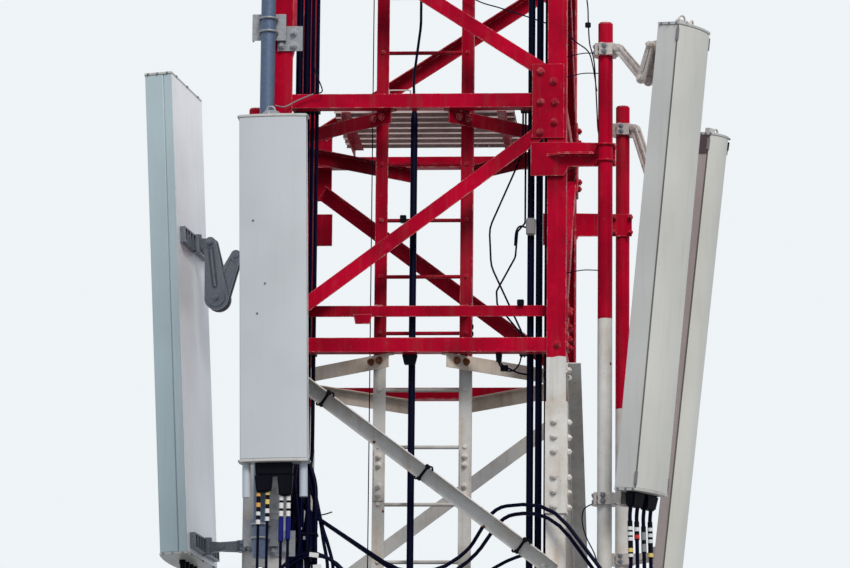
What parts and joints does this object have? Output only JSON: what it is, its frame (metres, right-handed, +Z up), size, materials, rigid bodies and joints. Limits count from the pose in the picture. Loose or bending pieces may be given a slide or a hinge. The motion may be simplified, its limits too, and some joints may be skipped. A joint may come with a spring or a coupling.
{
  "type": "cell tower",
  "caption": "Square bolted lattice mast of steel angles with inner ladder and rest platform, carrying panel antennas on pole mounts with tilt brackets",
  "frame": {"origin": "centre of the four feet, on the ground", "axes": "+Z up; -Y is the side with the ladder and the front panel; +X is on its right"},
  "size_m": [3.2102, 2.4897, 7.6375],
  "materials": {
    "red_paint": "weathered gloss",
    "white_paint": "weathered, rust spots",
    "galvanised_steel": "dull zinc",
    "worn_slats": "worn",
    "radome": "matte",
    "panel_housing": "matte",
    "cable_sheath": "satin"
  },
  "bodies": {
    "root": {"base_plates": "galvanised_steel", "lower_legs": "white_paint", "upper_legs": "red_paint", "leg_splices": "white_paint", "gusset_plates": "red_paint", "lower_struts": "white_paint", "upper_struts": "red_paint", "lower_diagonals": "white_paint", "upper_diagonals": "red_paint", "lower_plan_bracing": "white_paint", "upper_plan_bracing": "red_paint", "cable_bearer": "red_paint", "ladder_stringers": "red_paint", "ladder_rungs": "red_paint", "ladder_brackets": "red_paint", "platform_carriers": "red_paint", "platform_slats": "worn_slats", "pole_front_left": "galvanised_steel", "pole_front_right": "red_paint", "pole_rear_left": "white_paint", "pole_rear_right": "red_paint", "arms_front_left": "galvanised_steel", "arms_front_right": "red_paint", "arms_rear_left": "white_paint", "arms_rear_right": "red_paint", "left_panel_radome": "radome", "left_panel_tray": "panel_housing", "front_panel_radome": "radome", "front_panel_tray": "panel_housing", "right_panel_radome": "radome", "right_panel_tray": "panel_housing", "rear_panel_radome": "radome", "rear_panel_tray": "panel_housing", "panel_end_caps": "panel_housing", "bracket_left": "galvanised_steel", "bracket_front": "galvanised_steel", "bracket_right": "galvanised_steel", "bracket_rear": "galvanised_steel", "panel_skirts": "white_paint", "panel_connectors": "cable_sheath", "centre_feeder": "cable_sheath", "right_feeders": "cable_sheath", "left_feeders": "cable_sheath", "thin_leads": "cable_sheath", "crossing_leads": "cable_sheath", "right_leads": "cable_sheath", "front_leads": "cable_sheath", "left_leads": "cable_sheath", "rear_leads": "cable_sheath", "feeder_clamps": "cable_sheath"}
  },
  "joints": []
}
